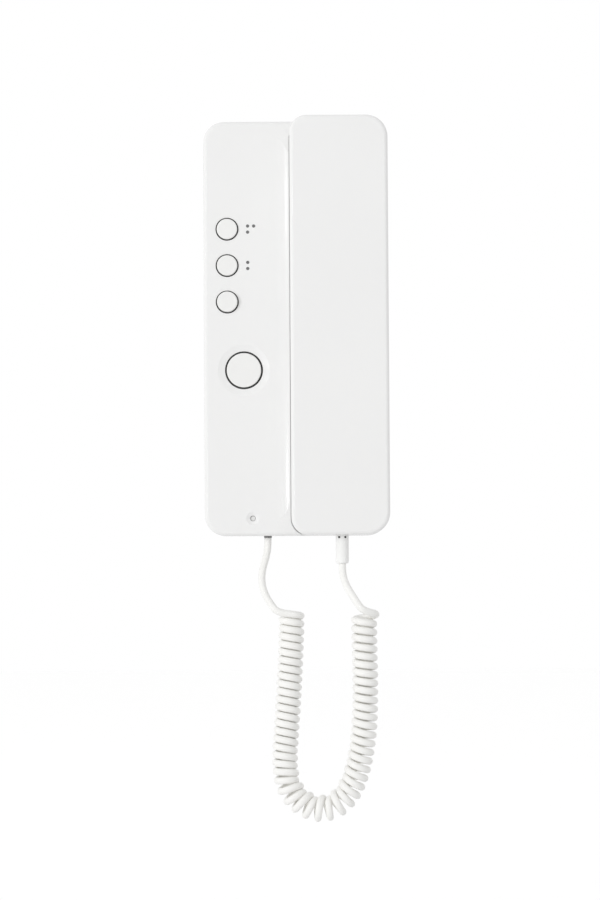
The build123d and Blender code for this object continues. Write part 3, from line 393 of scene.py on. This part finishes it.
def circuit_board(name):
    """Green lacquer, with the lighter lines of the copper tracks under it."""
    material, tree, shader, place = new_material(name)
    tracks = tree.nodes.new("ShaderNodeTexBrick")
    tracks.inputs["Scale"].default_value = 260.0
    tracks.inputs["Mortar Size"].default_value = 0.03
    tracks.inputs["Color1"].default_value = (0.015, 0.13, 0.05, 1)
    tracks.inputs["Color2"].default_value = (0.02, 0.17, 0.07, 1)
    tracks.inputs["Mortar"].default_value = (0.06, 0.30, 0.12, 1)
    turned = tree.nodes.new("ShaderNodeMapping")
    turned.inputs["Rotation"].default_value = (math.pi / 2, 0, 0)
    tree.links.new(place, turned.inputs["Vector"])
    tree.links.new(turned.outputs["Vector"], tracks.inputs["Vector"])
    tree.links.new(tracks.outputs["Color"], shader.inputs["Base Color"])
    skin = group_node(tree.nodes, SKIN, **{"Grain Scale": 1500.0})
    tree.links.new(place, skin.inputs["Place"])
    tree.links.new(spread_value(tree, skin.outputs["Waves"], 0.25, 0.4), shader.inputs["Roughness"])
    bump(tree, shader, tracks.outputs["Fac"], 0.03)
    return material


def clear_plastic(name):
    """Clear plastic of the plugs, a little duller where it was touched."""
    material, tree, shader, place = new_material(name)
    marks = group_node(tree.nodes, HANDLING, Scale=300.0)
    tree.links.new(place, marks.inputs["Place"])
    tree.links.new(blend_colours(tree, marks.outputs["Marks"], (0.90, 0.92, 0.92), (0.82, 0.84, 0.84)),
                   shader.inputs["Base Color"])
    tree.links.new(spread_value(tree, marks.outputs["Marks"], 0.06, 0.16), shader.inputs["Roughness"])
    shader.inputs["Transmission Weight"].default_value = 0.85
    shader.inputs["IOR"].default_value = 1.49
    return material


def speaker_paper(name):
    """Pressed black paper, whose fibres show."""
    material, tree, shader, place = new_material(name)
    fibres = group_node(tree.nodes, BRUSHED, Scale=2200.0, Along=0.3)
    tree.links.new(place, fibres.inputs["Place"])
    tree.links.new(blend_colours(tree, fibres.outputs["Lines"], (0.03, 0.03, 0.032), (0.09, 0.09, 0.088)),
                   shader.inputs["Base Color"])
    shader.inputs["Roughness"].default_value = 0.9
    shader.inputs["Sheen Weight"].default_value = 0.15
    bump(tree, shader, fibres.outputs["Lines"], 0.05)
    return material


def make_materials():
    """One material for each slot, and a frosted one for the light pipe."""
    return {
        "gloss_white": plastic("gloss_white", (0.865, 0.865, 0.86), (0.84, 0.84, 0.837), (0.12, 0.15),
                               0.008, waves=22.0, wave_share=0.85, coat=0.15),
        "key_white": plastic("key_white", (0.86, 0.86, 0.85), (0.84, 0.84, 0.83), (0.2, 0.205),
                             0.006, waves=90.0),
        "cord_white": plastic("cord_white", (0.94, 0.935, 0.915), (0.90, 0.895, 0.875), (0.38, 0.5),
                              0.02, grain=1400.0, waves=160.0, wave_share=0.5),
        "boot_white": plastic("boot_white", (0.93, 0.93, 0.92), (0.89, 0.89, 0.88), (0.34, 0.46),
                              0.012, waves=120.0),
        "plate_white": plastic("plate_white", (0.78, 0.78, 0.77), (0.73, 0.73, 0.72), (0.45, 0.6),
                               0.03, grain=900.0),
        "mid_grey": plastic("mid_grey", (0.24, 0.24, 0.24), (0.19, 0.19, 0.19), (0.5, 0.65),
                            0.02, grain=900.0),
        "grey_ink": plastic("grey_ink", (0.13, 0.13, 0.13), (0.16, 0.16, 0.16), (0.5, 0.6),
                            0.004, waves=600.0),
        "black_plastic": plastic("black_plastic", (0.025, 0.025, 0.026), (0.04, 0.04, 0.04), (0.38, 0.55),
                                 0.02, grain=1200.0, waves=200.0),
        "board_green": circuit_board("board_green"),
        "terminal_green": plastic("terminal_green", (0.05, 0.27, 0.14), (0.04, 0.22, 0.11), (0.38, 0.5),
                                  0.02, waves=150.0),
        "steel": metal("steel", (0.58, 0.58, 0.59), (0.48, 0.48, 0.49), (0.25, 0.42), 0.01),
        "can_aluminium": metal("can_aluminium", (0.74, 0.74, 0.75), (0.66, 0.66, 0.67), (0.28, 0.4),
                               0.008, scale=600.0),
        "black_rubber": plastic("black_rubber", (0.03, 0.03, 0.03), (0.05, 0.05, 0.05), (0.6, 0.8),
                                0.04, grain=1000.0, sheen=0.1),
        "cone_paper": speaker_paper("cone_paper"),
        "clear_light": clear_plastic("clear_light"),
        "milky_light": plastic("milky_light", (0.80, 0.80, 0.79), (0.74, 0.74, 0.73), (0.2, 0.3),
                               0.004, waves=400.0),
        "led_white": plastic("led_white", (0.80, 0.78, 0.62), (0.72, 0.66, 0.40), (0.25, 0.35),
                             0.01, waves=500.0),
        "transformer_black": metal("transformer_black", (0.07, 0.07, 0.075), (0.03, 0.03, 0.03), (0.35, 0.5),
                                   0.05, scale=1600.0, along=1.0),
    }


# Black rings in the gaps round the keys and black pins in the holes of the handset's cord boot, both painted
# shade of those gaps and holes

def ring_tree():
    """Geometry Nodes: a flat washer of soft rubber at every point of the object it is on."""
    tree = bpy.data.node_groups.new("gap_shade_rings", "GeometryNodeTree")
    tree.interface.new_socket("Geometry", in_out="INPUT", socket_type="NodeSocketGeometry")
    for name in ("Radius", "Width", "Thickness"):
        tree.interface.new_socket(name, in_out="INPUT", socket_type="NodeSocketFloat")
    tree.interface.new_socket("Material", in_out="INPUT", socket_type="NodeSocketMaterial")
    tree.interface.new_socket("Geometry", in_out="OUTPUT", socket_type="NodeSocketGeometry")
    start, end = tree.nodes.new("NodeGroupInput"), tree.nodes.new("NodeGroupOutput")

    path = tree.nodes.new("GeometryNodeCurvePrimitiveCircle")
    path.inputs["Resolution"].default_value = GAP_SHADE_RESOLUTION
    tree.links.new(start.outputs["Radius"], path.inputs["Radius"])
    section = tree.nodes.new("GeometryNodeCurvePrimitiveQuadrilateral")
    tree.links.new(start.outputs["Width"], section.inputs["Width"])
    tree.links.new(start.outputs["Thickness"], section.inputs["Height"])
    swept = tree.nodes.new("GeometryNodeCurveToMesh")
    tree.links.new(path.outputs[0], swept.inputs[0])
    tree.links.new(section.outputs[0], swept.inputs[1])
    stand = tree.nodes.new("GeometryNodeTransform")
    stand.inputs["Rotation"].default_value = (math.pi / 2, 0.0, 0.0)
    tree.links.new(swept.outputs[0], stand.inputs[0])
    copies = tree.nodes.new("GeometryNodeInstanceOnPoints")
    tree.links.new(start.outputs["Geometry"], copies.inputs["Points"])
    tree.links.new(stand.outputs[0], copies.inputs["Instance"])
    real = tree.nodes.new("GeometryNodeRealizeInstances")
    coloured = tree.nodes.new("GeometryNodeSetMaterial")
    tree.links.new(copies.outputs[0], real.inputs[0])
    tree.links.new(real.outputs[0], coloured.inputs[0])
    tree.links.new(start.outputs["Material"], coloured.inputs["Material"])
    tree.links.new(coloured.outputs[0], end.inputs[0])
    return tree


def bake_nodes(name, points, tree, **values):
    """A plain mesh of what the tree makes at these points."""
    holder = bpy.data.meshes.new(name + "_points")
    holder.from_pydata([tuple(Vector(point) * MM) for point in points], [], [])
    maker = add_object(name + "_maker", holder)
    modifier = maker.modifiers.new(name, "NODES")
    modifier.node_group = tree
    sockets = {item.name: item.identifier for item in tree.interface.items_tree if item.in_out == "INPUT"}
    for socket, value in values.items():
        modifier[sockets[socket]] = value
    mesh = bpy.data.meshes.new_from_object(maker.evaluated_get(bpy.context.evaluated_depsgraph_get()))
    bpy.data.objects.remove(maker)
    mesh.name = name
    return add_object(name, mesh)


def add_gap_shades(name, keys, radius, gap, face, tree, material):
    """A black ring round each of these keys, in the gap between it and the cover, as painted shade of that
    gap.
    """
    boxes = [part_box(key) for key in keys]
    depth = -face + GAP_SHADE_THICKNESS / 2
    places = [((low.x + high.x) / 2 / MM, depth, (low.z + high.z) / 2 / MM) for low, high in boxes]
    width = gap - 2 * GAP_SHADE_CLEARANCE
    gap_shades = bake_nodes(name, places, tree, Radius=(radius + gap / 2) * MM, Width=width * MM,
                       Thickness=GAP_SHADE_THICKNESS * MM, Material=material)
    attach(gap_shades, "base")


def make_key_gap_shades(material):
    tree = ring_tree()
    small_keys = ("upper_key", "middle_key", "lower_key")
    add_gap_shades("key_gap_shades", small_keys, SMALL_KEY_RADIUS, SMALL_KEY_GAP, SMALL_GAP_SHADE_FACE, tree, material)
    add_gap_shades("door_key_gap_shade", ("door_key",), DOOR_KEY_RADIUS, DOOR_KEY_GAP, DOOR_GAP_SHADE_FACE, tree, material)


def make_boot_shade_pins(material):
    """Two black pins that fill the boot's blind holes nearly to its face, as painted shade of those holes.
    """
    mesh = bpy.data.meshes.new("boot_shade_pins")
    pins = bmesh.new()
    for side in (-1, 1):
        made = bmesh.ops.create_uvsphere(pins, u_segments=BOOT_PIN_SEGMENTS,
                                         v_segments=BOOT_PIN_SEGMENTS // 2, radius=BOOT_PIN_RADIUS * MM)
        middle = Vector(BOOT_MIDDLE) + Vector((side * BOOT_PIN_HALF, 0.0, 0.0))
        place = Matrix.Translation(middle * MM) @ Matrix.Diagonal((1, BOOT_PIN_STRETCH, 1, 1))
        bmesh.ops.transform(pins, matrix=place, verts=made["verts"])
    pins.to_mesh(mesh)
    pins.free()
    mesh.shade_smooth()
    mesh.materials.append(material)
    shade_pins = add_object("boot_shade_pins", mesh)
    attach(shade_pins, "handset")


def dress_cad_nodes(materials):
    """Each CAD node gets its slot's material; the light pipe's face is frosted, so it looks milky."""
    slots = {row["node"]: row["material_slot"] for row in frame["record"]["subparts"]}
    slots["light_pipe"] = "milky_light"
    for name, node in NODES.items():
        if node.material_slots:
            for slot in node.material_slots:
                slot.material = materials[slots[name]]
        else:
            node.data.materials.append(materials[slots[name]])


# Light and floor

def area_light(name, place, aim, size, power, gloss=True):
    light = bpy.data.lights.new(name, "AREA")
    light.shape = "RECTANGLE"
    light.size, light.size_y = size
    light.energy = power
    lamp = add_object(name, light)
    lamp.visible_glossy = gloss
    lamp.location = place
    lamp.rotation_euler = (Vector(aim) - Vector(place)).to_track_quat("-Z", "Y").to_euler()


def background_rays(tree):
    """1 where the camera, a gloss or a glass looks here, and 0 for the light that this scatters."""
    path = tree.nodes.new("ShaderNodeLightPath")
    seen = path.outputs["Is Camera Ray"]
    for ray in ("Is Glossy Ray", "Is Transmission Ray"):
        largest = tree.nodes.new("ShaderNodeMath")
        largest.operation = "MAXIMUM"
        tree.links.new(seen, largest.inputs[0])
        tree.links.new(path.outputs[ray], largest.inputs[1])
        seen = largest.outputs[0]
    return seen


def make_world():
    """Soft light from all round, seen as plain white."""
    world = bpy.data.worlds.new("studio")
    bpy.context.scene.world = world
    world.use_nodes = True
    tree = world.node_tree
    lit = tree.nodes["Background"]
    lit.inputs["Color"].default_value = (1, 1, 1, 1)
    lit.inputs["Strength"].default_value = WORLD_LIGHT
    white = tree.nodes.new("ShaderNodeBackground")
    white.inputs["Color"].default_value = (1, 1, 1, 1)
    mix = tree.nodes.new("ShaderNodeMixShader")
    tree.links.new(background_rays(tree), mix.inputs[0])
    tree.links.new(lit.outputs[0], mix.inputs[1])
    tree.links.new(white.outputs[0], mix.inputs[2])
    tree.links.new(mix.outputs[0], tree.nodes["World Output"].inputs["Surface"])


def make_floor():
    """A pale floor with the object's shadow on it, lifted to white where it is looked at."""
    mesh = bpy.data.meshes.new("floor")
    half, low = FLOOR_HALF * MM, FLOOR_HEIGHT * MM
    corners = [(-half, -half, low), (half, -half, low), (half, half, low), (-half, half, low)]
    mesh.from_pydata(corners, [], [(0, 1, 2, 3)])
    floor = add_object("floor", mesh)
    material, tree, shader, place = new_material("floor")
    marks = group_node(tree.nodes, HANDLING)
    tree.links.new(place, marks.inputs["Place"])
    tree.links.new(blend_colours(tree, marks.outputs["Marks"], *FLOOR_TONES), shader.inputs["Base Color"])
    shader.inputs["Roughness"].default_value = 0.9
    lift = tree.nodes.new("ShaderNodeMath")
    lift.operation = "MULTIPLY"
    tree.links.new(background_rays(tree), lift.inputs[0])
    lift.inputs[1].default_value = FLOOR_LIFT
    white = tree.nodes.new("ShaderNodeEmission")
    tree.links.new(lift.outputs[0], white.inputs["Strength"])
    both = tree.nodes.new("ShaderNodeAddShader")
    tree.links.new(shader.outputs[0], both.inputs[0])
    tree.links.new(white.outputs[0], both.inputs[1])
    tree.links.new(both.outputs[0], tree.nodes["Material Output"].inputs["Surface"])
    mesh.materials.append(material)


def make_lights():
    area_light("key_light", *KEY_LIGHT, gloss=False)
    area_light("upper_window", *UPPER_WINDOW)
    area_light("lower_window", *LOWER_WINDOW)
    bpy.context.scene.view_settings.view_transform = "Standard"
    bpy.context.scene.cycles.diffuse_bounces = WHITE_BOUNCES


make_camera()
MATERIALS = make_materials()
dress_cad_nodes(MATERIALS)
make_cord(MATERIALS["cord_white"])
# The black rings round the keys are painted shade of the gaps between the keys and the cover
make_key_gap_shades(MATERIALS["black_rubber"])
# The black pins in the cord boot's holes are painted shade of those holes
make_boot_shade_pins(MATERIALS["black_rubber"])
make_world()
make_floor()
make_lights()
